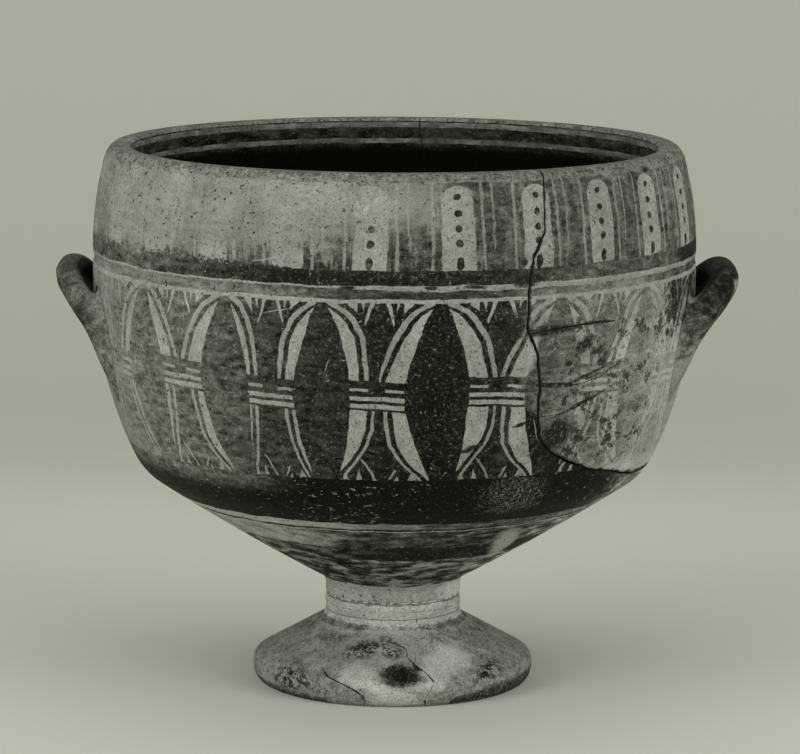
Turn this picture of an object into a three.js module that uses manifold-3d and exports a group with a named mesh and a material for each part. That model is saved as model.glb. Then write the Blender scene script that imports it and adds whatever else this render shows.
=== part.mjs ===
import * as THREE from 'three';
import { mergeVertices } from 'three/addons/utils/BufferGeometryUtils.js';
import Module from 'manifold-3d';

// A wheel-thrown pottery bowl on a hollow foot, with two loop handles, put together again from its sherds.
// Millimetres, +Z up. The origin is the middle of the ring that the foot stands on, and the front is -Y.
// An azimuth is in degrees from the front and grows towards +X. A profile point is a radius and a height.

const wasm = await Module();
wasm.setup();

// Foot
const footHeight = 29.2;
const footEdgeRadius = 62.2;
const footEdgeHeight = 7.5;
const flareLowRadius = 58.5;
const flareLowHeight = 13;
const standingRadius = 58.8;
const standingWidth = 8.6;
const footWall = 8.5;
const hollowCrownRadius = 12;
const hollowCrownHeight = 22;
const waistOut = 1.6;
const waistDown = 0.9;
const waistUp = 0.6;

// Stem, with the two breaks across it
const stemRadius = 30;
const stemHeight = 16.8;
const lowBreakAboveFoot = 2.4;
const drumHeight = 6.2;
const plasterThickness = 0.8;
const plasterInset = 0.5;
const drumSwell = 0.3;
const stemFillet = 3.2;

// Lower bowl, a wide cone from the stem to the sharp turn
const coneHeight = 50;
const coneSwell = 0.8;
const coneThickness = 9;
const turnRadius = 111;
const turnRounding = 7;
const floorAboveStem = 5;
const floorRadius = 32;

// Wall, from the turn to the lip
const wallHeight = 142;
const wallThickness = 7.6;
const wallFootOut = 9.3;
const wallFootUp = 18;
const bellyRadius = 132.1;
const bellyAboveTurn = 86;
const bellyReach = 39;
const grooveAboveBelly = 5.2;
const grooveWidth = 5;
const grooveDepth = 0.6;
const shoulderRadius = 127.8;
const shoulderBelowLip = 10;
const shoulderReach = 12;
const shoulderInset = 3.3;

// Lip
const lipRadius = 122.9;
const lipFlat = 5.6;
const lipInnerRounding = 2.2;
const lipOverhangHeight = 24;
const lipBevelIn = 1.2;
const lipBevelDown = 2;

// Handles: each is a coil of clay bent into a loop, with two roots that are smeared down the wall
const leftCoilRadius = 5.7;
const rightCoilRadius = 6.5;
const leftReach = 20.9;
const rightReach = 23.1;
const leftRise = 30.3;
const rightRise = 29.3;
const rootThickening = 1.8;
const rootFlareLength = 18;
const rootAzimuth = 17;
const rootAboveTurn = 56;
const rootSmearLength = 22;
const rootSmearRadius = 4.5;
const rootSmearSteps = 5;
const loopSquareness = 0.7;
const loopLean = 0.78;

// Widths of the cracks and joints
const seatClearance = 0.3;
const mainCrackWidth = 1;
const backCrackWidth = 0.6;
const upperCrackWidth = 0.7;
const fineCrackWidth = 0.4;
const footCrackWidth = 0.5;
const cutMarginLength = 30;
const footCutMarginLength = 8;
const probeRadius = 0.5;

// Facets
const wheelSteps = 64;
const footSteps = 56;
const coilSides = 12;
const coilSteps = 26;

// Heights that follow from the sizes above
const lowBreakHeight = footHeight + lowBreakAboveFoot;
const drumTop = lowBreakHeight + seatClearance + drumHeight;
const plasterTop = drumTop + seatClearance + plasterThickness;
const stubHeight = plasterTop + seatClearance;
const stemTop = footHeight + stemHeight;
const turnHeight = stemTop + coneHeight;
const bellyHeight = turnHeight + bellyAboveTurn;
const grooveLow = bellyHeight + grooveAboveBelly;
const grooveHigh = grooveLow + grooveWidth;
const rimHeight = turnHeight + wallHeight;
const shoulderHeight = rimHeight - shoulderBelowLip;
const rootHeight = turnHeight + rootAboveTurn;
const cutRadius = (bellyRadius + shoulderRadius) / 2 + cutMarginLength;

// Cracks in the wall: each point is an azimuth and a share of the way from the turn to the lip
const mainCrack = [
  [29.2, 1.06], [28.7, 0.94], [28, 0.83], [25.9, 0.77], [25, 0.71], [24.5, 0.55], [26.7, 0.477],
  [27.7, 0.39], [28, 0.29], [29.2, 0.225], [32.5, 0.17], [38, 0.13], [45, 0.092], [54, 0.067], [63.5, 0.042],
];
const hiddenCrack = [
  [63.5, 0.042], [80, 0.035], [98, 0.045], [116, 0.06], [134, 0.1], [150, 0.19], [160, 0.36],
  [167, 0.6], [173.3, 0.82], [174.6, 1.06],
];
const upperCrack = [[24.4, 0.536], [27, 0.539], [32, 0.55], [43.5, 0.552]];
const middleCrack = [[27.3, 0.391], [36, 0.373], [41, 0.386], [45.2, 0.419]];
const lowerCrack = [[27.6, 0.284], [33.6, 0.287], [38.5, 0.314], [42.6, 0.344]];
const closingCrack = [[42.6, 0.344], [44.7, 0.385], [45.2, 0.419], [44.4, 0.48], [43.5, 0.552]];

// The sherd in the front of the foot: each point is an azimuth, a share of the foot's edge radius and a share
// of its height
const footCrack = [
  [-11.7, 0.916, -0.34], [-11.7, 0.973, 0.051], [-11.2, 0.989, 0.137], [-14.5, 1, 0.253], [-21, 0.989, 0.342],
  [-27.5, 0.965, 0.411], [-31.4, 0.924, 0.466], [-27.6, 0.852, 0.551], [-22, 0.772, 0.647],
  [-11, 0.667, 0.774], [0.5, 0.635, 0.815], [7.6, 0.683, 0.757], [8.4, 0.78, 0.64], [14, 0.892, 0.503],
  [17.3, 0.981, 0.37], [15, 1, 0.257], [13, 0.984, 0.11], [13.6, 0.965, 0.034], [13.6, 0.916, -0.34],
];
const footBladeRadius = 43;
const footBladeHeight = 2;

const slip = new THREE.MeshStandardMaterial({ color: 0x4c4a42, roughness: 0.75, metalness: 0 });
const bareClay = new THREE.MeshStandardMaterial({ color: 0xa3a398, roughness: 0.85, metalness: 0 });
const plaster = new THREE.MeshStandardMaterial({ color: 0xc2c2b8, roughness: 0.9, metalness: 0 });

// A profile grows point by point, by straight and round stretches.
class Profile {
  constructor(radius, height) {
    this.points = [new THREE.Vector2(radius, height)];
  }

  get last() {
    return this.points[this.points.length - 1];
  }

  line(radius, height) {
    this.points.push(new THREE.Vector2(radius, height));
    return this;
  }

  // A round stretch that bends towards one control point
  round(control, end, steps) {
    const curve = new THREE.QuadraticBezierCurve(this.last, control, end);
    this.points.push(...curve.getPoints(steps).slice(1));
    return this;
  }

  // A longer stretch that leaves towards its first control point and arrives from its second
  sweep(leaving, arriving, end, steps) {
    const curve = new THREE.CubicBezierCurve(this.last, leaving, arriving, end);
    this.points.push(...curve.getPoints(steps).slice(1));
    return this;
  }
}

function at(radius, height) {
  return new THREE.Vector2(radius, height);
}

// The point a distance along the line from one point to another
function along(from, to, distance) {
  const direction = to.clone().sub(from).normalize();
  return from.clone().addScaledVector(direction, distance);
}

// The corner inside a bend, where two offset lines meet
function insideCorner(before, corner, after, thicknessBefore, thicknessAfter) {
  const first = corner.clone().sub(before).normalize();
  const second = after.clone().sub(corner).normalize();
  const firstNormal = at(-first.y, first.x);
  const secondNormal = at(-second.y, second.x);
  const start = corner.clone().addScaledVector(firstNormal, thicknessBefore);
  const other = corner.clone().addScaledVector(secondNormal, thicknessAfter);
  const gap = other.sub(start);
  const cross = first.x * second.y - first.y * second.x;
  return start.addScaledVector(first, (gap.x * second.y - gap.y * second.x) / cross);
}

function toSolid(geometry) {
  const bare = geometry.clone();
  bare.deleteAttribute('normal');
  bare.deleteAttribute('uv');
  const merged = mergeVertices(bare, 1e-4);
  const index = merged.index.array;
  const triangles = [];
  for (let i = 0; i < index.length; i += 3) {
    const [a, b, c] = [index[i], index[i + 1], index[i + 2]];
    if (a !== b && b !== c && c !== a) triangles.push(a, b, c);
  }
  return new wasm.Manifold(new wasm.Mesh({
    numProp: 3,
    vertProperties: new Float32Array(merged.attributes.position.array),
    triVerts: new Uint32Array(triangles),
  }));
}

function toMesh(name, solid, material) {
  const { vertProperties, triVerts } = solid.getMesh();
  const geometry = new THREE.BufferGeometry();
  geometry.setAttribute('position', new THREE.BufferAttribute(vertProperties, 3));
  geometry.setIndex(new THREE.BufferAttribute(triVerts, 1));
  geometry.computeVertexNormals();
  const mesh = new THREE.Mesh(geometry, material);
  mesh.name = name;
  return mesh;
}

// A profile turned on the wheel. It starts and ends on the axis, or closes on itself.
function turned(points, steps) {
  const geometry = new THREE.LatheGeometry(points, steps);
  geometry.rotateX(Math.PI / 2);
  return toSolid(geometry);
}

function onWheel(azimuth, radius, height) {
  const angle = THREE.MathUtils.degToRad(azimuth);
  return new THREE.Vector3(radius * Math.sin(angle), -radius * Math.cos(angle), height);
}

const coneStart = at(stemRadius, stemTop);
const turn = at(turnRadius, turnHeight);
const wallAim = at(turnRadius + wallFootOut, turnHeight + wallFootUp);

// The outside of the bowl, from the stem's top to the lip. A grown one gives the seat of what is luted on.
function traceOutside(profile, grow) {
  const belly = bellyRadius + grow;
  const coneFrom = along(coneStart, turn, stemFillet).add(at(grow, 0));
  const coneTo = along(turn, coneStart, turnRounding).add(at(grow, 0));
  const swell = at(coneTo.y - coneFrom.y, coneFrom.x - coneTo.x).normalize().multiplyScalar(2 * coneSwell);
  const coneMiddle = coneFrom.clone().add(coneTo).multiplyScalar(0.5).add(swell);
  return profile
    .line(stemRadius + grow, stemTop - stemFillet)
    .round(at(stemRadius + grow, stemTop), coneFrom, 3)
    .round(coneMiddle, coneTo, 4)
    .round(at(turnRadius + grow, turnHeight), along(turn, wallAim, turnRounding).add(at(grow, 0)), 5)
    .sweep(wallAim.clone().add(at(grow, 0)), at(belly, bellyHeight - bellyReach), at(belly, bellyHeight), 9)
    .line(belly, grooveLow)
    .line(belly - grooveDepth, grooveLow + grooveDepth)
    .line(belly - grooveDepth, grooveHigh - grooveDepth)
    .line(belly, grooveHigh)
    .sweep(
      at(belly, grooveHigh + shoulderReach),
      at(shoulderRadius + grow + shoulderReach / 4, shoulderHeight - shoulderReach),
      at(shoulderRadius + grow, shoulderHeight),
      5,
    )
    .round(
      at(shoulderRadius - lipBevelIn + grow, rimHeight - lipBevelDown),
      at(lipRadius + grow, rimHeight),
      4,
    );
}

function bowlShell() {
  const lipInner = lipRadius - lipFlat;
  const throat = lipInner - lipInnerRounding;
  const insideTurn = insideCorner(coneStart, turn, wallAim, coneThickness, wallThickness);
  const insideBelly = bellyRadius - wallThickness;
  const insideWallAim = wallAim.clone().add(insideTurn).sub(turn);
  const insideConeAim = coneStart.clone().add(insideTurn).sub(turn);
  const floorHeight = stemTop + floorAboveStem;
  const floorEdge = along(insideTurn, insideConeAim, insideTurn.x - floorRadius);
  const floorBend = at(floorEdge.x * 0.55, floorHeight);
  const profile = traceOutside(new Profile(0, stubHeight).line(stemRadius, stubHeight), 0)
    .line(lipInner, rimHeight)
    .round(at(throat, rimHeight), at(throat, rimHeight - lipInnerRounding), 3)
    .sweep(
      at(throat, rimHeight - lipOverhangHeight / 2),
      at(shoulderRadius - shoulderInset, rimHeight - lipOverhangHeight),
      at(insideBelly, grooveHigh),
      5,
    )
    .line(insideBelly, bellyHeight)
    .sweep(
      at(insideBelly, bellyHeight - bellyReach),
      insideWallAim,
      along(insideTurn, insideWallAim, turnRounding),
      8,
    )
    .round(insideTurn, along(insideTurn, insideConeAim, turnRounding), 4)
    .line(floorEdge.x, floorEdge.y)
    .round(floorBend, at(0, floorHeight), 4);
  return turned(profile.points, wheelSteps);
}

// A closed blade that follows a line of stations. Each station has a point inside the clay's hollow and
// one outside its skin, and the blade is as wide as the crack that it cuts.
function blade(stations, width) {
  const positions = [];
  const index = [];
  stations.forEach((station, i) => {
    const before = stations[Math.max(i - 1, 0)];
    const after = stations[Math.min(i + 1, stations.length - 1)];
    const travel = after.outer.clone().sub(before.outer);
    const ray = station.outer.clone().sub(station.inner);
    const side = travel.cross(ray).normalize().multiplyScalar(width / 2);
    for (const corner of [station.inner, station.outer]) {
      positions.push(...corner.clone().add(side).toArray());
      positions.push(...corner.clone().sub(side).toArray());
    }
  });
  const quad = (a, b, c, d) => index.push(a, b, c, a, c, d);
  for (let i = 0; i + 1 < stations.length; i += 1) {
    const near = 4 * i;
    const far = near + 4;
    quad(near, far, far + 2, near + 2);
    quad(near + 1, near + 3, far + 3, far + 1);
    quad(near + 2, far + 2, far + 3, near + 3);
    quad(near, near + 1, far + 1, far);
  }
  const end = 4 * (stations.length - 1);
  quad(0, 2, 3, 1);
  quad(end, end + 1, end + 3, end + 2);
  const geometry = new THREE.BufferGeometry();
  geometry.setAttribute('position', new THREE.Float32BufferAttribute(positions, 3));
  geometry.setIndex(index);
  return toSolid(geometry);
}

function wallBlade(crack, width) {
  const stations = crack.map(([azimuth, share]) => {
    const height = turnHeight + share * wallHeight;
    return {
      inner: onWheel(azimuth, turnRadius / 2, height),
      outer: onWheel(azimuth, cutRadius, height),
    };
  });
  return blade(stations, width);
}

function footBlade() {
  const stations = footCrack.map(([azimuth, radiusShare, heightShare]) => {
    const inner = onWheel(azimuth, footBladeRadius, footBladeHeight);
    const skin = onWheel(azimuth, radiusShare * footEdgeRadius, heightShare * footHeight);
    const outer = skin.clone().sub(inner).setLength(footCutMarginLength).add(skin);
    return { inner, outer };
  });
  return blade(stations, footCrackWidth);
}

// The piece of a cut solid that a straight probe goes through
function pieceAt(pieces, from, to) {
  const length = from.distanceTo(to);
  const probe = new THREE.CylinderGeometry(probeRadius, probeRadius, length, 6);
  const turnToRay = new THREE.Quaternion();
  turnToRay.setFromUnitVectors(new THREE.Vector3(0, 1, 0), to.clone().sub(from).normalize());
  probe.applyQuaternion(turnToRay);
  probe.translate(...from.clone().add(to).multiplyScalar(0.5).toArray());
  const needle = toSolid(probe);
  return pieces.find((piece) => !piece.intersect(needle).isEmpty());
}

function wallPieceAt(pieces, azimuth, share) {
  const height = turnHeight + share * wallHeight;
  return pieceAt(pieces, onWheel(azimuth, turnRadius / 2, height), onWheel(azimuth, cutRadius, height));
}

function footPieceAt(pieces, azimuth) {
  const hollow = onWheel(azimuth, footBladeRadius, footBladeHeight);
  return pieceAt(pieces, hollow, onWheel(azimuth, footEdgeRadius, footHeight));
}

// The bowl's outside radius at a height on its wall
const wallSkin = traceOutside(new Profile(0, stubHeight), 0).points.slice(1);

function skinRadius(height) {
  const above = wallSkin.findIndex((point) => point.y > height);
  const high = wallSkin[above];
  const low = wallSkin[above - 1];
  return low.x + ((high.x - low.x) * (height - low.y)) / (high.y - low.y);
}

// The line down the middle of a handle's coil, from root to root
class LoopLine extends THREE.Curve {
  constructor(coilRadius, reach, rise) {
    super();
    this.start = skinRadius(rootHeight) - coilRadius / 2;
    this.reach = reach;
    this.rise = rise;
  }

  getPoint(t, target = new THREE.Vector3()) {
    const angle = Math.PI * t;
    const root = THREE.MathUtils.degToRad(rootAzimuth);
    const across = Math.sign(Math.cos(angle)) * Math.abs(Math.cos(angle)) ** loopSquareness;
    const bow = Math.abs(Math.sin(angle)) ** loopSquareness;
    return target.set(
      this.start * Math.cos(root) + this.reach * bow,
      -this.start * Math.sin(root) * across,
      rootHeight + this.rise * bow ** loopLean,
    );
  }
}

// A coil with its own radius at each step, closed at both ends
function coil(centres, radii) {
  const positions = [];
  const index = [];
  const across = new THREE.Vector3();
  const tangent = new THREE.Vector3();
  centres.forEach((centre, i) => {
    const before = centres[Math.max(i - 1, 0)];
    const after = centres[Math.min(i + 1, centres.length - 1)];
    tangent.copy(after).sub(before).normalize();
    if (i === 0) across.set(0, 1, 0);
    across.addScaledVector(tangent, -across.dot(tangent)).normalize();
    const upward = tangent.clone().cross(across);
    for (let k = 0; k < coilSides; k += 1) {
      const angle = (2 * Math.PI * k) / coilSides;
      const point = centre.clone()
        .addScaledVector(across, radii[i] * Math.cos(angle))
        .addScaledVector(upward, radii[i] * Math.sin(angle));
      positions.push(...point.toArray());
    }
  });
  for (let i = 0; i + 1 < centres.length; i += 1) {
    for (let k = 0; k < coilSides; k += 1) {
      const a = i * coilSides + k;
      const b = i * coilSides + ((k + 1) % coilSides);
      index.push(a, b, b + coilSides, a, b + coilSides, a + coilSides);
    }
  }
  const last = (centres.length - 1) * coilSides;
  for (let k = 1; k + 1 < coilSides; k += 1) {
    index.push(0, k + 1, k, last, last + k, last + k + 1);
  }
  const geometry = new THREE.BufferGeometry();
  geometry.setAttribute('position', new THREE.Float32BufferAttribute(positions, 3));
  geometry.setIndex(index);
  return toSolid(geometry);
}

// Where a root's smear lies, from its thin end in the wall up to the loop's first point
function rootSmear(root, coilRadius) {
  const stations = [];
  for (let i = 0; i < rootSmearSteps; i += 1) {
    const share = 1 - i / rootSmearSteps;
    const height = rootHeight - rootSmearLength * share;
    const radius = skinRadius(height) - coilRadius / 2 - rootSmearRadius * share / 2;
    const x = Math.sqrt(radius ** 2 - root.y ** 2);
    const thickness = THREE.MathUtils.lerp(coilRadius + rootThickening, rootSmearRadius, share);
    stations.push({ centre: new THREE.Vector3(x, root.y, height), thickness });
  }
  return stations;
}

// side is +1 for the right handle and -1 for the left, which is its mirror image
function handle(side, coilRadius, reach, rise, seat) {
  const line = new LoopLine(coilRadius, reach, rise);
  const centres = line.getSpacedPoints(coilSteps);
  const stepLength = line.getLength() / coilSteps;
  const loop = centres.map((centre, i) => {
    const toRoot = Math.min(i, coilSteps - i) * stepLength;
    const thickness = coilRadius + rootThickening * Math.exp(-((toRoot / rootFlareLength) ** 2));
    return { centre, thickness };
  });
  const firstSmear = rootSmear(centres[0], coilRadius);
  const lastSmear = rootSmear(centres[coilSteps], coilRadius).reverse();
  const stations = [...firstSmear, ...loop, ...lastSmear];
  const whole = coil(
    stations.map(({ centre }) => new THREE.Vector3(side * centre.x, side * centre.y, centre.z)),
    stations.map(({ thickness }) => thickness),
  );
  return whole.subtract(seat);
}

// What the handles sit against: the bowl's outside with their clearance, filled to the axis
function handleSeat() {
  const profile = traceOutside(new Profile(0, stemTop - 2 * stemFillet), seatClearance);
  profile.line(0, rimHeight);
  return turned(profile.points, wheelSteps);
}

function footSolid() {
  const inner = standingRadius - standingWidth;
  const flareLow = at(flareLowRadius, flareLowHeight);
  const flareTop = at(stemRadius, footHeight);
  const skirt = insideCorner(at(flareLowRadius, 0), flareLow, flareTop, standingWidth, footWall);
  const profile = new Profile(0, lowBreakHeight)
    .line(0, hollowCrownHeight)
    .round(at(hollowCrownRadius, hollowCrownHeight), along(skirt, at(0, hollowCrownHeight), skirt.x / 2), 4)
    .line(skirt.x, skirt.y)
    .line(inner, 0)
    .line(standingRadius, 0)
    .round(at(footEdgeRadius, footEdgeHeight / 4), at(footEdgeRadius, footEdgeHeight), 4)
    .round(at(footEdgeRadius, footEdgeHeight * 1.55), flareLow, 4)
    .line(flareTop.x + waistOut, flareTop.y - waistDown)
    .line(flareTop.x, flareTop.y + waistUp)
    .line(stemRadius, lowBreakHeight)
    .line(0, lowBreakHeight);
  return turned(profile.points, footSteps);
}

function stemDrum() {
  const low = lowBreakHeight + seatClearance;
  const profile = new Profile(0, low)
    .line(stemRadius, low)
    .line(stemRadius + drumSwell, (low + drumTop) / 2)
    .line(stemRadius, drumTop)
    .line(0, drumTop);
  return turned(profile.points, footSteps);
}

function stemPlaster() {
  const low = drumTop + seatClearance;
  const radius = stemRadius - plasterInset;
  const profile = new Profile(0, low)
    .line(radius, low)
    .line(radius, plasterTop)
    .line(0, plasterTop);
  return turned(profile.points, footSteps);
}

const wallPieces = bowlShell()
  .subtract(wallBlade(mainCrack, mainCrackWidth))
  .subtract(wallBlade(hiddenCrack, backCrackWidth))
  .subtract(wallBlade(upperCrack, upperCrackWidth))
  .subtract(wallBlade(middleCrack, fineCrackWidth))
  .subtract(wallBlade(lowerCrack, fineCrackWidth))
  .subtract(wallBlade(closingCrack, fineCrackWidth))
  .decompose();
const footPieces = footSolid().subtract(footBlade()).decompose();
const seat = handleSeat();

const bowl = new THREE.Group();
bowl.add(toMesh('bowl_body', wallPieceAt(wallPieces, -90, 0.4), slip));
bowl.add(toMesh('right_sherd', wallPieceAt(wallPieces, 100, 0.7), slip));
bowl.add(toMesh('middle_sherd', wallPieceAt(wallPieces, 35, 0.46), bareClay));
bowl.add(toMesh('lower_sherd', wallPieceAt(wallPieces, 36, 0.335), bareClay));
bowl.add(toMesh('left_handle', handle(-1, leftCoilRadius, leftReach, leftRise, seat), slip));
bowl.add(toMesh('right_handle', handle(1, rightCoilRadius, rightReach, rightRise, seat), slip));
bowl.add(toMesh('stem_plaster', stemPlaster(), plaster));
bowl.add(toMesh('stem_drum', stemDrum(), bareClay));
bowl.add(toMesh('foot', footPieceAt(footPieces, 180), bareClay));
bowl.add(toMesh('foot_front_sherd', footPieceAt(footPieces, 0), bareClay));

export default bowl;
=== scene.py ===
import math

import bpy
from mathutils import Matrix, Vector, noise
from mathutils.kdtree import KDTree


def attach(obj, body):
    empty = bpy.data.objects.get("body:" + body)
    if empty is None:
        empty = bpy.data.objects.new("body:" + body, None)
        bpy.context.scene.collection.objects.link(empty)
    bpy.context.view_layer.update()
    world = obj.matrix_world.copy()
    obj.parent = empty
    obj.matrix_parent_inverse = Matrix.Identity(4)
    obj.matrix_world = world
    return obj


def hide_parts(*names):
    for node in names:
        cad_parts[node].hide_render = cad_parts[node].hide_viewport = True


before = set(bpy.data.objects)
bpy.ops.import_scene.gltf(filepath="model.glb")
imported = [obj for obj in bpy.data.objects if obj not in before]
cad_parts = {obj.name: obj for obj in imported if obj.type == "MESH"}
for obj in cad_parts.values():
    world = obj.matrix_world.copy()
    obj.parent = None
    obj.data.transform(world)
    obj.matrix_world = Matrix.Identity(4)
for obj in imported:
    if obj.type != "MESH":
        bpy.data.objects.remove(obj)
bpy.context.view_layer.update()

# A slip-painted bowl on a foot, with two loop handles, joined again from its sherds.
# Sizes are millimetres and angles are degrees from the front, growing to the right. MM makes them metres.
MM = 0.001

FOOT_HEIGHT = 29.2
FOOT_EDGE_RADIUS = 62.2
STEM_RADIUS = 30.0
LOW_BREAK = 31.6
DRUM_BOTTOM = 31.7
DRUM_TOP = 38.28
PLASTER_BOTTOM = 38.4
PLASTER_TOP = 39.4
STUB = 39.5
STEM_TOP = 46.0
TURN = (111.0, 96.0)
BELLY_RADIUS = 132.1
BELLY = 182.0
GROOVE_LOW = 187.2
GROOVE_HIGH = 192.2
RIM = 238.0
LIP_OUTER = 122.9
LIP_INNER = 117.3
MOUTH_RADIUS = 115.1
INNER_RADIUS = 124.5
INNER_TURN = (104.0, 101.2)
FLOOR = 51.0
ROOT_HEIGHT = 152.0
ROOT_AZIMUTH = 17.0
ROOT_SWELL = 1.8
ROOT_REACH = 18
JOIN_REACH = 11
HANDLE_VOXEL = 0.85

WHEEL_STEPS = 336
FOOT_STEPS = 224
SEAT_DEPTH = 0.3
# A loose part with fewer vertices than this is a crumb of the cut
CRUMB = 60
# About how far a degree is round the belly
DEGREE = 2.25

# The camera looks a little down at the bowl through a long lens, and is rolled a touch
CAMERA_PLACE = (0, -1.7052, 0.4125)
CAMERA_DOWN = 9.2534
CAMERA_ROLL = 0.29
CAMERA_LENS = 176.49
CAMERA_SHIFT = 0.0076


# Modelling


def start_clean():
    if bpy.context.object and bpy.context.object.mode != "OBJECT":
        bpy.ops.object.mode_set(mode="OBJECT")
    bpy.ops.object.select_all(action="DESELECT")


def pick(piece):
    start_clean()
    piece.select_set(True)
    bpy.context.view_layer.objects.active = piece


def radius_of(place):
    """How far a place is from the wheel's axis."""
    return math.hypot(place.x, place.y)


def on_wheel(azimuth, radius, height):
    angle = math.radians(azimuth)
    return Vector((radius * math.sin(angle), -radius * math.cos(angle), height))


def bend(start, control, end, steps):
    """Points of a round stretch, without its start."""
    found = []
    for i in range(1, steps + 1):
        t = i / steps
        found.append(tuple(
            (1 - t) ** 2 * a + 2 * t * (1 - t) * b + t * t * c for a, b, c in zip(start, control, end)
        ))
    return found


def sweep(start, leaving, arriving, end, steps):
    """Points of a longer stretch, without its start."""
    found = []
    corners = (start, leaving, arriving, end)
    for i in range(1, steps + 1):
        t = i / steps
        weights = ((1 - t) ** 3, 3 * t * (1 - t) ** 2, 3 * t * t * (1 - t), t ** 3)
        found.append(tuple(sum(w * p[k] for w, p in zip(weights, corners)) for k in (0, 1)))
    return found


def straight(start, end, steps):
    return [tuple(a + (b - a) * i / steps for a, b in zip(start, end)) for i in range(1, steps + 1)]


def along(start, end, distance):
    a, b = Vector(start), Vector(end)
    return tuple(a + (b - a).normalized() * distance)


def draw_line(name, points):
    """A row of points, each drawn out of the one before it."""
    start_clean()
    bpy.ops.mesh.primitive_plane_add(size=MM, location=(0, 0, 0))
    line = bpy.context.object
    line.name = name
    bpy.ops.object.mode_set(mode="EDIT")
    bpy.ops.mesh.select_all(action="SELECT")
    bpy.ops.mesh.merge(type="CENTER")
    last = Vector((0, 0, 0))
    for i, point in enumerate(points):
        step = Vector(point) * MM - last
        if i == 0:
            bpy.ops.transform.translate(value=step)
        else:
            bpy.ops.mesh.extrude_region_move(TRANSFORM_OT_translate={"value": step})
        last = Vector(point) * MM
    return line


def turn_profile(name, profile, steps, degrees):
    """A profile of radii and heights, turned round the wheel's axis. It stays in edit mode."""
    piece = draw_line(name, [(0, -radius, height) for radius, height in profile])
    bpy.ops.mesh.select_all(action="SELECT")
    bpy.ops.mesh.spin(steps=steps, angle=math.radians(degrees), center=(0, 0, 0), axis=(0, 0, 1))
    bpy.ops.mesh.select_all(action="SELECT")
    bpy.ops.mesh.remove_doubles(threshold=0.02 * MM)
    return piece


def face_outwards():
    """Turns every face outwards and leaves edit mode."""
    bpy.ops.mesh.select_all(action="SELECT")
    bpy.ops.mesh.normals_make_consistent(inside=False)
    bpy.ops.object.mode_set(mode="OBJECT")


def throw(name, profile, steps):
    """A profile of radii and heights, turned once round the wheel's axis and closed."""
    piece = turn_profile(name, profile, steps, 360)
    face_outwards()
    return piece


def shape(piece, rule):
    """Moves each vertex to the place that the rule gives, in millimetres."""
    for vertex in piece.data.vertices:
        vertex.co = rule(vertex.co / MM) * MM
    piece.data.update()


def grain(place, size, seed=0.0):
    return noise.noise(place / size + Vector((seed, seed, seed)))


def press_in(place, depth):
    """The place moved towards the wheel's axis."""
    share = 1 - depth / radius_of(place)
    return Vector((place.x * share, place.y * share, place.z))


def wander(stations, spacing, reach, seed):
    """A crack's line with a station every few millimetres, each a little off the straight way."""
    found = []
    for i, (a, b) in enumerate(zip(stations, stations[1:])):
        length = math.hypot((b[0] - a[0]) * DEGREE, b[1] - a[1])
        count = max(1, round(length / spacing))
        for k in range(count + (i + 2 == len(stations))):
            share = k / count
            azimuth = a[0] + (b[0] - a[0]) * share
            height = a[1] + (b[1] - a[1]) * share
            place = Vector((azimuth * DEGREE, height, seed))
            azimuth += (noise.noise(place / 4.0) * reach + noise.noise(place / 11.0) * reach * 1.4) / DEGREE
            height += noise.noise(place / 4.0 + Vector((50, 0, 0))) * reach
            found.append((azimuth, height))
    return found


def blade(name, rows, widths):
    """A thin closed wall through rows of points, as wide at each of them as the crack is there."""
    depth = len(rows[0])
    corners, faces = [], []
    for i, row in enumerate(rows):
        before, after = rows[max(i - 1, 0)], rows[min(i + 1, len(rows) - 1)]
        side = (after[-1] - before[-1]).cross(row[-1] - row[0]).normalized() / 2
        corners += [point + side * width for point, width in zip(row, widths[i])]
        corners += [point - side * width for point, width in reversed(list(zip(row, widths[i])))]
    ring = 2 * depth
    for i in range(len(rows) - 1):
        for k in range(ring):
            near, far = i * ring, (i + 1) * ring
            faces.append((near + k, near + (k + 1) % ring, far + (k + 1) % ring, far + k))
    faces.append(tuple(range(ring)))
    faces.append(tuple(reversed(range(len(corners) - ring, len(corners)))))
    mesh = bpy.data.meshes.new(name)
    mesh.from_pydata([corner * MM for corner in corners], [], faces)
    piece = bpy.data.objects.new(name, mesh)
    bpy.context.collection.objects.link(piece)
    pick(piece)
    bpy.ops.object.mode_set(mode="EDIT")
    face_outwards()
    return piece


def cut(piece, tool):
    """Cuts the tool out of the piece, and clears the tool away."""
    boolean = piece.modifiers.new("Cut", "BOOLEAN")
    boolean.operation = "DIFFERENCE"
    boolean.solver = "MANIFOLD"
    boolean.material_mode = "TRANSFER"
    boolean.object = tool
    pick(piece)
    bpy.ops.object.modifier_apply(modifier=boolean.name)
    bpy.data.objects.remove(tool)


def part_loose(piece):
    """The loose parts of a piece, the largest first."""
    pick(piece)
    bpy.ops.object.mode_set(mode="EDIT")
    bpy.ops.mesh.select_all(action="SELECT")
    bpy.ops.mesh.separate(type="LOOSE")
    bpy.ops.object.mode_set(mode="OBJECT")
    parts = sorted(bpy.context.selected_objects, key=lambda part: -len(part.data.vertices))
    for crumb in [part for part in parts if len(part.data.vertices) < CRUMB]:
        bpy.data.objects.remove(crumb)
        parts.remove(crumb)
    return parts


def middle_of(piece):
    total = Vector((0, 0, 0))
    for vertex in piece.data.vertices:
        total += vertex.co
    return total / len(piece.data.vertices) / MM


def finish_piece(piece, name, node, angle=32):
    piece.name = name
    pick(piece)
    bpy.ops.object.transform_apply(location=True, rotation=True, scale=True)
    bpy.ops.object.shade_smooth_by_angle(angle=math.radians(angle))
    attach(piece, "root")
    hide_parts(node)
    return piece


def lay(piece, *finishes):
    piece.data.materials.clear()
    for finish in finishes:
        piece.data.materials.append(finish)


# Finishes


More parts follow.
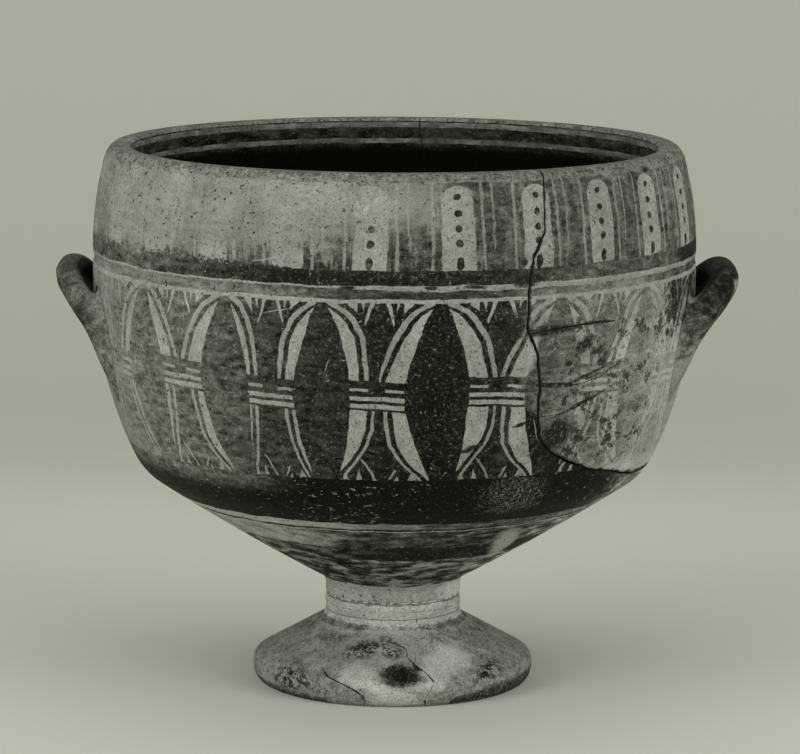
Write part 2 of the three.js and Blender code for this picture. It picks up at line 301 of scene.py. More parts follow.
class Field:
    """A value over the surface. Sums and products of fields are Math nodes."""

    def __init__(self, finish, socket):
        self.finish = finish
        self.socket = socket

    def maths(self, operation, *others):
        return self.finish.add("ShaderNodeMath", {"operation": operation}, [self, *others])

    def __add__(self, other):
        return self.maths("ADD", other)

    __radd__ = __add__

    def __sub__(self, other):
        return self.maths("SUBTRACT", other)

    def __rsub__(self, other):
        return self.finish.add("ShaderNodeMath", {"operation": "SUBTRACT"}, [other, self])

    def __mul__(self, other):
        return self.maths("MULTIPLY", other)

    __rmul__ = __mul__

    def __truediv__(self, other):
        return self.maths("DIVIDE", other)

    def __abs__(self):
        return self.maths("ABSOLUTE")

    def swing(self, reach):
        """Noise that goes from 0 to 1, made to go half of this reach up and down."""
        return (self - 0.5) * reach

    def least(self, other):
        return self.maths("MINIMUM", other)

    def most(self, other):
        return self.maths("MAXIMUM", other)

    def over(self, edge, soft):
        """1 where the value is over the edge and 0 under it, with a soft step between."""
        half = soft / 2
        ends = {"Value": self, "From Min": edge - half, "From Max": edge + half}
        return self.finish.add("ShaderNodeMapRange", {"interpolation_type": "SMOOTHSTEP"}, ends)

    def under(self, edge, soft):
        return 1 - self.over(edge, soft)

    def within(self, low, high, soft):
        return self.over(low, soft) * self.under(high, soft)


class Finish:
    """A material, with the place of each point in millimetres as its fields."""

    def __init__(self, name, roughness=0.8, gloss=0.5):
        self.material = bpy.data.materials.new(name)
        self.material.use_nodes = True
        self.tree = self.material.node_tree
        self.shader = self.tree.nodes["Principled BSDF"]
        self.shader.inputs["Roughness"].default_value = roughness
        self.shader.inputs["Specular IOR Level"].default_value = gloss
        place = self.add("ShaderNodeTexCoord", {}, {}, "Object")
        self.place = self.add("ShaderNodeVectorMath", {"operation": "SCALE"}, {0: place, "Scale": 1 / MM})
        self.x, self.y, self.z = (self.add("ShaderNodeSeparateXYZ", {}, [self.place], k) for k in range(3))
        self.azimuth = self.x.maths("ARCTAN2", self.y * -1) * math.degrees(1)
        self.seeds = 0

    def add(self, kind, settings, inputs, output=0):
        node = self.tree.nodes.new(kind)
        for name, value in settings.items():
            if name == "stops":
                self.set_stops(node.color_ramp, value)
            elif name == "points":
                self.set_points(node.mapping, value)
            else:
                setattr(node, name, value)
        for name, value in inputs.items() if isinstance(inputs, dict) else enumerate(inputs):
            if isinstance(value, Field):
                self.tree.links.new(value.socket, node.inputs[name])
            else:
                node.inputs[name].default_value = value
        return Field(self, node.outputs[output])

    @staticmethod
    def set_stops(ramp, stops):
        while len(ramp.elements) < len(stops):
            ramp.elements.new(1)
        for element, (position, colour) in zip(ramp.elements, stops):
            element.position = position
            element.color = colour

    @staticmethod
    def set_points(mapping, points):
        line = mapping.curves[0]
        while len(line.points) < len(points):
            line.points.new(1, 1)
        for point, place in zip(line.points, points):
            point.location = place
            point.handle_type = "VECTOR"
        mapping.update()

    def curve(self, field, points):
        """A value that follows the points, straight from one to the next."""
        first, last = points[0][0], points[-1][0]
        low = min(value for _, value in points)
        high = max(max(value for _, value in points), low + 1e-6)
        inside = [((at - first) / (last - first), (value - low) / (high - low)) for at, value in points]
        share = (field - first) / (last - first)
        found = self.add("ShaderNodeFloatCurve", {"points": inside}, {"Value": share})
        return found * (high - low) + low

    def made(self, name):
        """A value that was written on the mesh when it was made."""
        return self.add("ShaderNodeAttribute", {"attribute_name": name}, {}, "Fac")

    def cloud(self, size, detail=3.0, stretch=(1, 1, 1), roughness=0.55):
        """Noise with features of about this size in millimetres, from 0 to 1."""
        self.seeds += 1
        scale = [s / size for s in stretch]
        place = self.add("ShaderNodeVectorMath", {"operation": "MULTIPLY_ADD"},
                         [self.place, scale, [self.seeds * 7.31] * 3])
        inputs = {"Vector": place, "Scale": 1.0, "Detail": detail, "Roughness": roughness}
        return self.add("ShaderNodeTexNoise", {}, inputs)

    def grain(self):
        return self.cloud(1.5, 4, roughness=0.75)

    def grit(self):
        return self.cloud(0.8, 2, roughness=0.7)

    def specks(self, size, share, soft=0.06):
        """Small spots of about this size, over this share of the surface."""
        return self.cloud(size, 2.0, roughness=0.6).over(1 - share, soft)

    def tint(self, tone):
        """The clay's own colour for a tone from 0, black, to 1, white, as the eye sees it."""
        stops = [(t, (*(linear(max(0, t + k)) for k in (0.003, 0.007, -0.030)), 1)) for t in TONES]
        return self.add("ShaderNodeValToRGB", {"stops": stops}, [tone])

    def colour(self, tone):
        self.plug("Base Color", self.tint(tone))

    def plug(self, name, field):
        self.tree.links.new(field.socket, self.shader.inputs[name])

    def relief(self, height, strength=1.0):
        """Height in millimetres."""
        bump = self.add("ShaderNodeBump", {}, {"Strength": strength, "Distance": MM, "Height": height})
        self.plug("Normal", bump)


TONES = (0.02, 0.08, 0.15, 0.24, 0.34, 0.46, 0.58, 0.7, 0.85)


def linear(value):
    return value / 12.92 if value <= 0.04045 else ((value + 0.055) / 1.055) ** 2.4


# The painted bands, as azimuths and heights

OVALS = 17
OVAL_PITCH = 360 / OVALS
FRONT_OVALS = (-54.0, -32.7, -13.7, 7.5, 30.75, 52.6, 73.8)
PANELS = 24
PANEL_PITCH = 360 / PANELS
FRONT_PANELS = (-4.4, 11.6, 26.8, 41.0, 55.3, 71.0)

# How wide the pale crescents are beside each oval, left and right, in degrees
CRESCENT_TOP = (
    (2.2, 2.4), (1.9, 2.3), (2.8, 1.4), (2.6, 2.6), (2.6, 3.0), (2.3, 2.2), (2.0, 2.1), (2.4, 2.3),
)
CRESCENT_MIDDLE = (
    (2.4, 2.8), (1.9, 3.5), (3.3, 0.9), (1.8, 1.7), (3.8, 3.3), (3.3, 2.2), (2.9, 2.3), (2.5, 2.5),
)
CRESCENT_LOW = (
    (2.0, 2.0), (0.9, 1.0), (1.5, 0.5), (0.7, 3.4), (2.4, 3.7), (2.7, 3.1), (2.8, 3.0), (2.3, 2.5),
)
# How far each oval's foot leans to the right of its middle, and how high the bindings sit to its right
FOOT_LEAN = ((-1.5, 1.0), (0, 1.0), (1, 1.2), (2, -0.2), (3, 2.1), (4, 1.1), (5, 2.4), (6.5, 1.4))
BINDING_RISE = (
    (-1.5, 2.0), (-0.03, 3.0), (0.03, 4.0), (0.97, 4.0), (1.03, 0.0), (2.97, 0.0), (3.03, 1.2), (3.97, 1.2),
    (4.03, 3.3), (4.97, 3.3), (5.03, 1.0), (6.5, 1.0),
)
# Half the width of an oval in degrees, by height
OVAL_HALF = (
    (110, 2.3), (114, 2.8), (120, 3.7), (126, 4.4), (133, 5.0), (141, 5.4), (152, 5.6), (160, 5.0),
    (165, 4.4), (170, 3.8), (175, 3.0), (181, 2.1), (184, 1.3), (185.8, 0.0), (187, 0.0),
)


def numbered(fronts, pitch_count):
    """Azimuths against a count of repeats: as painted in front, and even round the back."""
    last = len(fronts) - 1
    back = (fronts[0] + 360 - fronts[-1]) / (pitch_count - last)
    left = -(fronts[0] + 180) / back
    right = last + (180 - fronts[-1]) / back
    return [(-180, left)] + [(azimuth, i) for i, azimuth in enumerate(fronts)] + [(180, right)]


def halves(pairs, first):
    """A value for the left and the right half of each repeat, as steps."""
    points = []
    for i, (left, right) in enumerate(pairs):
        at = first + i
        points += [(at - 0.48, left), (at - 0.02, left), (at + 0.02, right), (at + 0.48, right)]
    return points


def between(share, low, high):
    return low + (high - low) * share


def paint_frieze(f, azimuth, height):
    """The ovals with their crescents, arcs, bindings and tongues. 1 is slip and 0 is bare clay."""
    rough_count = f.curve(azimuth, numbered(FRONT_OVALS, OVALS))
    down = f.curve(height, [(108, 1.0), (112, 0.98), (126, 0.55), (140, 0.12), (150, 0), (190, 0)])
    up = f.curve(height, [(108, 0), (150, 0), (182, 0.7), (190, 0.8)])
    lean = f.curve(rough_count, FOOT_LEAN) * down + up
    count = f.curve(azimuth - lean, numbered(FRONT_OVALS, OVALS))
    side = (count - count.maths("ROUND")) * OVAL_PITCH
    off = abs(side)
    gap = (count - count.maths("FLOOR") - 0.5) * OVAL_PITCH
    from_gap = abs(gap)
    rise = f.curve(rough_count, BINDING_RISE)
    binding = height - rise + gap * 0.11
    upper = binding.over(147.5, 0.4)

    top = f.curve(count, halves(CRESCENT_TOP, -1))
    middle = f.curve(count, halves(CRESCENT_MIDDLE, -1))
    low = f.curve(count, halves(CRESCENT_LOW, -1))
    climb = f.curve(height, [(150, 0), (154, 0), (172, 1), (190, 1)])
    taper_up = f.curve(height, [(150, 1), (172, 1), (178, 0.72), (182, 0.36), (184.6, 0), (190, 0)])
    taper_left = f.curve(height, [
        (110, 0.05), (112, 0.25), (118, 1.0), (126, 1.4), (134, 1.2), (140, 1), (150, 1),
    ])
    taper_right = f.curve(height, [
        (108, 0), (113, 0), (122, 0.48), (127, 0.76), (133, 0.97), (140, 1), (150, 1),
    ])
    wide_up = between(climb, middle, top) * taper_up
    wide_down = low * between(side.over(0, 0.1), taper_left, taper_right)
    wide = between(upper, wide_down, wide_up)
    half = f.curve(height, OVAL_HALF)
    line = half + wide
    arc = line + f.curve(height, [(108, 0.85), (172, 0.92), (177, 1.05), (181, 1.2), (186, 1.0)])
    arc_end = arc + f.curve(height, [
        (108, 0.7), (150, 0.72), (160, 0.9), (173, 1.05), (181, 1.3), (186.3, 2.0),
    ])
    arch_end = arc_end + f.curve(height, [
        (150, 0.95), (174, 0.95), (178, 1.0), (181, 1.1), (184, 1.4), (186.3, 1.9),
    ])
    crescent = off.within(half, line, 0.18) * wide.over(0.25, 0.3)
    arcs = off.within(arc, arc_end, 0.18)
    ends = 1 - binding.within(141.0, 153.8, 0.5)
    pale = crescent.most(arcs * 0.92) * ends
    lines = binding.within(149.1, 150.4, 0.4) * from_gap.over(1.6, 0.4)
    lines = lines.most(binding.within(145.2, 147.0, 0.4)).most(binding.within(141.9, 143.9, 0.4))
    pale = pale.most(lines * off.over(half + 0.1, 0.2))

    outside = off.over(arch_end, 0.2)
    from_top = 187 - height
    tongue = from_top * 0.17 + 0.85
    edging = from_gap.within(tongue, tongue + 0.85 - from_top * 0.055, 0.18) * height.over(176.5, 1)
    notch = from_gap.within(2.75 + from_top * 0.03, 3.5 - from_top * 0.14, 0.18)
    wedge = from_gap.over(4.1, 0.2) * height.over(180.2, 1)
    pale = pale.most(outside * edging.most(notch).most(wedge) * upper)

    from_base = height - 110.4
    curved = abs(gap + 3.9 - (10 - from_base).maths("POWER", 0.8) * 0.4).under(0.24, 0.16)
    curved = curved * from_base.under(9.6, 0.5)
    stroke = abs(gap - 0.9 - from_base * 0.26).under(0.24, 0.16) * from_base.within(0.9, 5, 0.5)
    spikes = ((-7.0, 0.85, 4.4), (-4.3, 0.65, 5.0), (2.4, 0.5, 2.4), (5.2, 0.95, 4.2))
    rays = curved.most(stroke)
    for at, half_base, tall in spikes:
        rays = rays.most(abs(gap - at).under(half_base * (1 - from_base / tall), 0.16))
    pale = pale.most(rays * off.over(arc_end, 0.2) * from_base.under(10.4, 0.4) * 0.9)
    return 1 - pale


def paint_rim(f, azimuth, height, strokes):
    """The tongues under the lip: pale panels with a row of dots, on a ground of upright strokes."""
    count = f.curve(azimuth, numbered(FRONT_PANELS, PANELS))
    off = (count - count.maths("ROUND")) * PANEL_PITCH
    side = abs(off)
    head = ((height - 226.5).most(0) / 6.9).maths("POWER", 2.5)
    panel = side.under(3.0 * (1 - head.least(1)).maths("SQRT"), 0.3) * height.under(233.4, 0.5)
    spread = (off / 0.68).maths("POWER", 2)
    nearest = None
    for at, tall in ((229.0, 1.25), (222.4, 1.4), (216.2, 1.5), (210.3, 1.6), (202.2, 2.7)):
        reach = spread + ((height - at) / tall).maths("POWER", 2)
        nearest = reach if nearest is None else nearest.least(reach)
    dots = nearest.under(1.0, 0.5)
    edge = abs(side - 4.5).under(0.3, 0.25) * 0.8
    threads = abs(off - 6.5).under(0.22, 0.25) * height.over(207, 4)
    slip = 1 - panel.most(edge).most(threads * 0.75).most(strokes * 0.45)
    return slip, dots * panel


def patchy(thickness, cloud, reach):
    """Slip of this thickness, rubbed away in patches where it is thin."""
    return (thickness + thickness * (1 - thickness) * (cloud - 0.5) * reach).most(0).least(1)


def smudge(azimuth, height, fray, at, high, long, wide, tilt=0):
    """A spot of this length and width in millimetres, turned up to the right by the tilt."""
    lean = math.radians(tilt)
    east = (azimuth - at) * DEGREE
    north = height - high
    u = (east * math.cos(lean) + north * math.sin(lean)) / long
    v = (north * math.cos(lean) - east * math.sin(lean)) / wide
    return (u * u + v * v + fray).under(1, 1.5)


def most_of(fields):
    """The greatest of several fields, each joined on as soon as it is made."""
    found = None
    for field in fields:
        found = field if found is None else found.most(field)
    return found


# Dark stains and pale scratches on the painted wall: azimuth, height, half length, half width and tilt. The
# dark stains along the upper crack, at heights 172 to 175, are painted shadow under its edge.
WALL_STAINS_AND_CRACK_SHADOWS = (
    (30.5, 173.0, 13, 1.7, 5), (39, 174.6, 9, 0.8, 0), (31, 149.6, 12, 1.2, -3), (38, 152.5, 12, 0.7, 16),
    (37, 140.0, 15, 0.9, 20), (41.5, 158, 2.6, 2.2, 0), (33.5, 158.5, 1.8, 1.4, 0),
    (49.4, 148.4, 2.2, 0.9, -50), (15, 124.2, 5.2, 1.1, 16), (24.8, 134, 4.5, 0.8, 12),
    (-8.5, 192.6, 3.2, 0.8, 0), (6.5, 192.6, 2.6, 0.7, 0), (14.5, 192.5, 4.5, 0.8, 0), (24, 194.8, 6, 3.0, 0),
    (22, 175, 6, 4.5, 60), (59.3, 209.3, 1.6, 1.4, 0), (23.7, 202.3, 1.6, 1.8, 0), (56.5, 234.7, 2.6, 1.2, 0),
    (33, 128, 9, 7, 30), (20.5, 172, 4, 5, 0), (28.5, 173.2, 8, 2.6, 4), (37, 166, 6, 2.5, 30),
)
SCRATCHES = (
    (-21.3, 182, 6.3, 0.3, 10), (-31.5, 192.3, 4.2, 0.3, 30), (-23, 202.8, 9.2, 0.3, 9),
    (-23.3, 224.5, 2.6, 0.5, 85), (-12, 160, 3, 0.25, 70), (28, 131, 5, 0.3, -70), (39, 120, 6, 0.25, 60),
    (-38, 118, 3.5, 0.3, -40),
    (40.3, 72.5, 18, 6.0, -26), (25, 161, 7, 3.2, 75),
)


# How high the long crack runs, by azimuth. Its sherd is worn, and below it the paint is dark.
CRACK_HEIGHTS = ((20, 150), (28, 137), (29.2, 128), (32.5, 120), (38, 114.5), (45, 109), (64, 102))


def near_cracks(f, azimuth, height, fray):
    """Dirt along the cracks, strongest at their edges."""
    steep = [(wall_height(share), at) for at, share in reversed(MAIN_CRACK[:11])]
    flat = [(at, wall_height(share)) for at, share in MAIN_CRACK[9:] + HIDDEN_CRACK[:4]]
    across = abs(azimuth - f.curve(height, steep)) * DEGREE
    down = abs(height - f.curve(azimuth, flat))
    dirt = (across + fray * 1.2).under(0.7, 1.6) * height.over(118, 2) * (1 - height.over(205, 14) * 0.7)
    low_dirt = (down + fray * 1.2).under(0.9, 1.6) * azimuth.within(30, 128, 4) * height.under(122, 2)
    return dirt.most(low_dirt) * 0.85


def painted_outside():
    f = Finish("slip_painted_clay", gloss=0.09)
    azimuth = f.azimuth + f.cloud(15, 2).swing(1.2) + f.cloud(2.2, 2).swing(0.3)
    height = f.z + f.cloud(12, 2).swing(1.8) + f.cloud(2.4, 2).swing(0.7)
    streaks = f.cloud(9, 5, (1, 1, 3.2), 0.6)
    blots = f.cloud(3.4, 4, (1, 1, 1.4), 0.62)
    grain = f.grain()
    grit = f.grit()
    upright = f.cloud(4.2, 4, (1, 1, 0.07), 0.65)
    wear = streaks * 0.3 + blots * 0.35 + grain * 0.35
    fray = blots.swing(2.4) + grain.swing(2.5)
    frieze = paint_frieze(f, azimuth, height)
    rim, dots = paint_rim(f, azimuth, height, upright.over(0.55, 0.16))

    def by_turn(*points):
        """A value that follows the turn of the wall and meets itself at the back."""
        left, right = points[0][1], points[-1][1]
        back = (left + right) / 2
        return f.curve(azimuth, [(-180, back), (-115, left)] + list(points) + [(125, right), (180, back)])

    from_back = f.azimuth.over(-150, 50)
    left = f.azimuth.under(-24, 20) * from_back

    ovals = by_turn((-110, 0.5), (-90, 0.12), (-70, 0.18), (-54, 0.34), (-33, 0.5), (-23, 0.68), (-13, 0.78),
                    (7, 0.94), (20, 0.84), (26, 0.5), (32, 0.36), (52, 0.28), (58, 0.15), (72, 0.12),
                    (95, 0.12), (120, 0.6))
    corner = (azimuth + blots.swing(14)).within(61, 82, 5) * (height + blots.swing(36)).over(164, 10)
    ovals = ovals.most(corner * 0.8)
    crack_line = f.curve(f.azimuth, CRACK_HEIGHTS)
    above_crack = (f.z - crack_line).over(0, 1)
    ovals = ovals.most((1 - above_crack) * f.azimuth.within(22, 60, 3) * 0.88)
    ground = by_turn((-90, 0.3), (-60, 0.14), (-14, 0.13), (-8, 0.46), (1, 0.63), (20, 0.54), (60, 0.48),
                     (100, 0.52))
    ground = ground * (1 - f.azimuth.within(-20, 9, 14) * height.over(216, 16) * 0.85)
    rim = rim.most(f.azimuth.under(-14, 8) * from_back * height.over(206 + upright.swing(20), 6) * 0.55)
    low_ground = by_turn((-90, 0.4), (-60, 0.3), (-30, 0.46), (-14, 0.8), (0, 0.76), (20, 0.62), (100, 0.6))
    ground = ground.most(low_ground * height.under(206 + upright.swing(40), 9))
    drops = by_turn((-60, 0.03), (-24, 0.12), (-12, 0.16), (-6, 0.56), (8, 0.78), (60, 0.75), (100, 0.7))
    belt = by_turn((-80, 0.5), (-50, 0.48), (-20, 0.88), (5, 0.85), (25, 0.75), (32, 0.48), (65, 0.48),
                   (69, 1.0), (90, 0.94))
    groove = by_turn((-60, 0.2), (-30, 0.26), (-12, 0.6), (15, 0.68), (28, 0.34), (50, 0.24), (65, 0.5),
                     (90, 0.6))
    skirt = by_turn((-60, 0.86), (-35, 0.95), (-20, 1.0), (15, 1.0), (45, 0.97), (53, 0.86), (60, 0.42),
                    (80, 0.4), (100, 0.5))
    cone = by_turn((-60, 0.08), (-24, 0.16), (-14, 0.76), (12, 0.84), (25, 0.7), (50, 0.66), (70, 0.3),
                   (120, 0.6))
    skirt = skirt * (1 - above_crack * f.azimuth.over(40, 3) * f.azimuth.under(140, 60) * 0.85)
    skirt = skirt * (1 - left * (height + streaks.swing(14)).over(104, 9) * 0.55)
    hem = by_turn((-60, 0.56), (-20, 0.6), (0, 0.46), (35, 0.38), (50, 0.45), (80, 0.5))
    reserved = by_turn((-20, 0.0), (-4, 0.2), (12, 0.5), (40, 0.6), (60, 0.3))
    bare_line = by_turn((-13, 0.8), (1, 2.3))
    dots = dots * drops * (1 - f.azimuth.within(-150, 2, 6) * height.over(219, 5) * 0.85)
    dimmed = (corner * 0.5).most(azimuth.under(-62, 10) * from_back * 0.45)

    # The bands from the lip down: their lower and upper heights, and how thick the slip is on them
    zones = (
        (234.6, 300, 0.2),
        (199.0, 234.6, (rim * ground).most(dots)),
        (193.4, 199.5 + left * (2 + grain.swing(18)), belt),
        (187.9, 193.4 - bare_line, groove),
        (110.3, 186.3, frieze.most(dimmed) * ovals),
        (88.2, 110.6, skirt),
        (84.9, 88.4, reserved),
        (83.9, 85.0, cone.most(0.7)),
        (72.5, 83.4, cone * 0.85),
        (65, 73.0, by_turn((-50, 0.55), (-22, 0.72), (4, 0.95), (40, 0.9))),
        (47.0, 65.5, hem),
    )
    slip = most_of(height.within(low, high, 0.4) * value for low, high, value in zones)
    slip = slip.most(grain.over(0.55, 0.14) * (f.z + blots.swing(8)).over(234.5, 5) * 0.85)
    low_wear = height.under(85, 3) * 0.5 + height.under(68, 6) * 0.5
    slip = patchy(slip, wear + (streaks - 0.5) * low_wear * 0.8, 15.0)
    deep = height.within(88, 111, 2)
    cluster = streaks.over(0.5, 0.2)
    scuffed = smudge(f.azimuth, f.z, fray * 1.6, 26.5, 102, 17, 9)
    rubbed = grain.over(0.63 - scuffed * 0.06, 0.3) * (0.85 - deep * 0.45 + scuffed * 0.2)
    rubbed = rubbed.most(scuffed * grit.over(0.54, 0.16) * 0.75)
    chips = f.cloud(1.5, 2, (0.6, 0.6, 1.5))
    chips = chips.over(0.7 - f.azimuth.within(-24, 0, 8) * deep * cluster * 0.08, 0.05)
    slip = slip * (1 - rubbed.least(1)) * (1 - chips * 0.8)
    # Dark stains, with painted shadow along the upper crack
    stains = most_of(smudge(azimuth, height, fray, *stain) for stain in WALL_STAINS_AND_CRACK_SHADOWS)
    scratches = most_of(smudge(azimuth, height, blots - 0.5, *scratch) for scratch in SCRATCHES)
    mended = f.azimuth.within(27, 60, 6) * height.within(112, 178, 10)
    blotches = (f.cloud(7, 5, (1, 1, 1.2), 0.68) + grain.swing(0.5)).over(0.57, 0.12) * mended
    slip = slip.most(stains * 0.85 * grain.over(0.4, 0.25)).most(blotches * 0.68)
    slip = slip.most(near_cracks(f, f.azimuth, f.z, fray)) * (1 - scratches * 0.9)
    worn_side = f.azimuth.within(44, 110, 24) * height.under(176, 30)
    left_side = f.azimuth.within(-75, -25, 30)
    # Below about 98 the cone faces down, and its clay is made paler there as painted light
    clay = 0.515 + worn_side * 0.08 + left_side * 0.04 + height.under(98, 6) * 0.1
    clay = clay - f.azimuth.within(4, 52, 12) * height.over(196, 6) * 0.035
    clay = clay + worn_side * height.under(108, 10) * 0.06 - height.under(46.5, 2) * 0.1
    clay = clay + f.cloud(20, 4).swing(0.22) + blots.swing(0.24)
    clay = clay * (1 - f.specks(0.9, 0.34) * 0.5) * (1 - f.specks(1.9, 0.33) * (0.4 + left_side * 0.3))
    tone = clay - clay * slip
    tone = tone + grit.swing(0.26 - slip * 0.16) + grain.swing(0.2)
    f.colour(tone.most(0.0))
    f.plug("Roughness", 0.88 - slip * 0.28 + blots.swing(0.2))
    wheel = f.cloud(2.6, 3, (0.05, 0.05, 1))
    f.relief(wheel * 0.12 + grit * 0.1 + blots * 0.08 + grain * 0.08, 0.8)
    return f.material


def slipped_inside():
    f = Finish("slipped_inside", gloss=0.06)
    height = f.z + f.cloud(8, 2).swing(1.2) + f.cloud(2.4, 2).swing(0.5)
    streaks = f.cloud(12, 5, (1, 1, 2.5), 0.6)
    grain = f.grain()
    near_lip = height.over(224, 6)
    lines = height.within(233.8, 236.2, 0.6).most(height.within(226.2, 228.6, 0.6))
    deep = height.under(180, 50)
    slip = 1.04 - near_lip * 0.3 - deep * 0.16 + streaks.swing(0.2 + near_lip * 1.2 + deep * 0.3)
    slip = slip.least(1).most(0) * (1 - lines * (0.5 + (streaks - 0.45) * 2.5).most(0.25).least(0.9))
    slip = slip * (1 - grain.over(0.64, 0.3) * (0.2 + near_lip * 0.6))
    clay = 0.48 + f.cloud(3, 3).swing(0.25) - f.specks(0.9, 0.36) * 0.25
    f.colour((clay - clay * slip).most(0))
    f.plug("Roughness", 0.7 + streaks.swing(0.3))
    f.relief(f.cloud(3, 3, (0.05, 0.05, 1)) * 0.14 + f.cloud(0.8, 3) * 0.1, 0.8)
    return f.material


def broken_clay():
    f = Finish("broken_clay", 0.92)
    crumbs = f.cloud(1.4, 5)
    f.colour((0.16 + crumbs.swing(0.3)).most(0.02))
    f.relief(crumbs * 0.5, 1.0)
    return f.material


def handle_finish():
    f = Finish("handle_clay", gloss=0.09)
    blots = f.cloud(4.2, 5, (1, 1, 1.2), 0.66)
    grain = f.grain()
    grit = f.grit()
    rubbed = f.cloud(10, 3)
    across = (f.x * f.x + f.y * f.y).maths("SQRT")
    proud = across - f.curve(f.z, [(height, radius) for radius, height in OUTSIDE[60:]])
    near = proud.under(7, 12)
    on_left = f.x.under(0, 1)
    on_right = 1 - on_left
    # On the left handle the slip thins near the wall, and thins towards the top as painted light
    left_slip_and_painted_light = 0.72 - near * 0.42 - f.z.over(172, 10) * 0.26
    right_slip = f.curve(f.z, [
        (126, 0.02), (140, 0.12), (150, 0.34), (160, 0.54), (170, 0.74), (178, 0.88), (200, 0.88),
    ])
    slip = between(on_left, right_slip - near * 0.2, left_slip_and_painted_light)
    slip = slip + blots.swing(1.6 + on_right * 0.6) + rubbed.swing(0.5)
    slip = slip + grain.swing(0.6 + on_right * 0.5)
    slip = slip.most(0.06).least(1) * (1 - grain.over(0.63, 0.3) * 0.7)
    # Where the coil faces the middle of its loop the slip is made full: painted shade inside the loop
    sheltered = f.made("sheltered")
    slip = slip.most((sheltered + blots.swing(0.5)).over(0.35, 0.5))
    ridge = (sheltered + blots.swing(0.2)).within(-0.05, 0.22, 0.12)
    ridge = ridge * f.z.within(146, 178, 8) * f.y.under(-20, 8)
    chip = f.x.over(146.6, 1.6) * f.z.within(175.6, 182, 2)
    slip = slip * (1 - (ridge * 0.75).most(chip * 0.9) * on_right)
    clay = 0.5 + f.cloud(14, 3).swing(0.2) - f.specks(0.9, 0.35) * 0.25
    tone = clay - clay * slip + grit.swing(0.44 - slip * 0.34)
    f.colour(tone.most(0.0))
    f.plug("Roughness", 0.86 - slip * 0.24)
    f.relief(grit * 0.12 + blots * 0.22 + grain * 0.08, 0.8)
    return f.material


# Spots on the foot: azimuth, height, half length, half width and tilt
FOOT_STAINS = ((4, 13.4, 9, 3.5, 0), (11, 15.8, 2.3, 0.9, -30))
FOOT_SPECKLED = (
    (-16, 21.4, 13, 3.0, 5), (-2, 22.2, 8, 3.0, -12), (-46, 8.5, 13, 5, 0), (45, 12, 12, 3.0, 12),
)
# How high the dark edge of the foot reaches, by azimuth
FOOT_EDGE_TOP = (
    (-180, 5), (-90, 4.2), (-60, 3.6), (-28, 2.6), (-22, -4), (20, -4), (25, 3.2), (48, 7.0), (70, 7.5),
    (90, 7), (180, 5),
)
FOOT_RUBBED = (
    (1, 4.0, 11, 3.8, 0), (-15, 12.5, 9, 4.0, -10), (20, 14, 12, 4, 20), (-5, 8, 6, 2.5, 0),
    (19, 9.5, 3, 3, 0), (30, 18, 16, 5, 10),
)
# Fine dark lines round the stem: height and half width
STEM_LINES = ((38.0, 0.2), (35.1, 0.1))


def foot_finish():
    f = Finish("foot_clay", gloss=0.09)
    height = f.z + f.cloud(6, 3).swing(2.4)
    blots = f.cloud(4.2, 5, (1, 1, 1.4), 0.66)
    grain = f.grain()
    grit = f.grit()
    fray = grain.swing(3.0) + blots.swing(2.2)
    narrow = FOOT_EDGE_RADIUS / 129
    around = f.azimuth * narrow

    def spots(table, fraying):
        return most_of(smudge(around, height, fraying, at * narrow, *rest) for at, *rest in table)

    stains = spots(FOOT_STAINS, fray)
    rubbed = spots(FOOT_RUBBED, fray * 0.6)
    dots = spots(FOOT_SPECKLED, fray * 0.7)
    on_foot = height.under(30, 2)
    rings = f.z.within(22.5, 25.5, 1.6) * 0.1 + f.z.within(27.3, 29.2, 1.2) * 0.3
    wash = 0.1 + rings + blots.swing(1.3) + grain.swing(1.2)
    wash = wash - f.azimuth.within(-20, 24, 12) * f.z.over(8, 4) * 0.26
    wash = wash.most(0).least(1) * (1 - rubbed * 0.9) * between(on_foot, 0.3, 1.0)
    wash = wash.most(dots * (blots * 0.5 + grain * 0.5).over(0.5, 0.1) * 0.85)
    wash = wash.most(stains * 0.92 * grain.over(0.38, 0.3))
    edge = f.curve(f.azimuth, FOOT_EDGE_TOP) - f.z + grain.swing(15) + blots.swing(6)
    wash = wash.most(edge.over(0, 3) * (0.92 - grain.over(0.5, 0.3) * 0.55))
    wander_up = f.cloud(9, 3).swing(1.6) + f.cloud(2.2, 2).swing(0.5)
    broken = f.cloud(5, 3).over(0.47, 0.12)
    lines = most_of(abs(f.z + wander_up * (0.2 + reach) - at).under(reach, 0.22) for at, reach in STEM_LINES)
    wash = wash.most(lines * broken * 0.4)
    wash = wash * (1 - grain.over(0.66, 0.2) * 0.6)
    # Above about 27 the stem's clay is made paler, as painted light against the shade under the bowl
    clay = 0.5 + rubbed * 0.11 + height.over(27, 4) * 0.11
    clay = clay + f.cloud(9, 3).swing(0.2) + grain.swing(0.16)
    clay = clay * (1 - f.specks(0.9, 0.36) * (0.5 - rubbed * 0.35))
    tone = clay - clay * wash + grit.swing(0.42 - wash * 0.3)
    flecks = (f.cloud(2.4, 3) + grit.swing(0.3)).over(0.53, 0.06)
    flecks = flecks * f.z.over(35.8, 1) * f.azimuth.within(2, 52, 8)
    f.colour(tone.most(flecks * 0.68))
    f.plug("Roughness", 0.9 - wash * 0.2)
    f.relief(grit * 0.12 + blots * 0.2 + grain * 0.12, 0.8)
    return f.material


def plaster_finish():
    f = Finish("plaster", 0.92)
    lumps = f.cloud(2.0, 4)
    f.colour(0.4 + lumps.over(0.5, 0.16) * 0.3)
    f.relief(lumps * 0.4, 1.0)
    return f.material


# The bowl

CONE_START = (STEM_RADIUS, STEM_TOP)
WALL_AIM = (TURN[0] + 9.3, TURN[1] + 18)


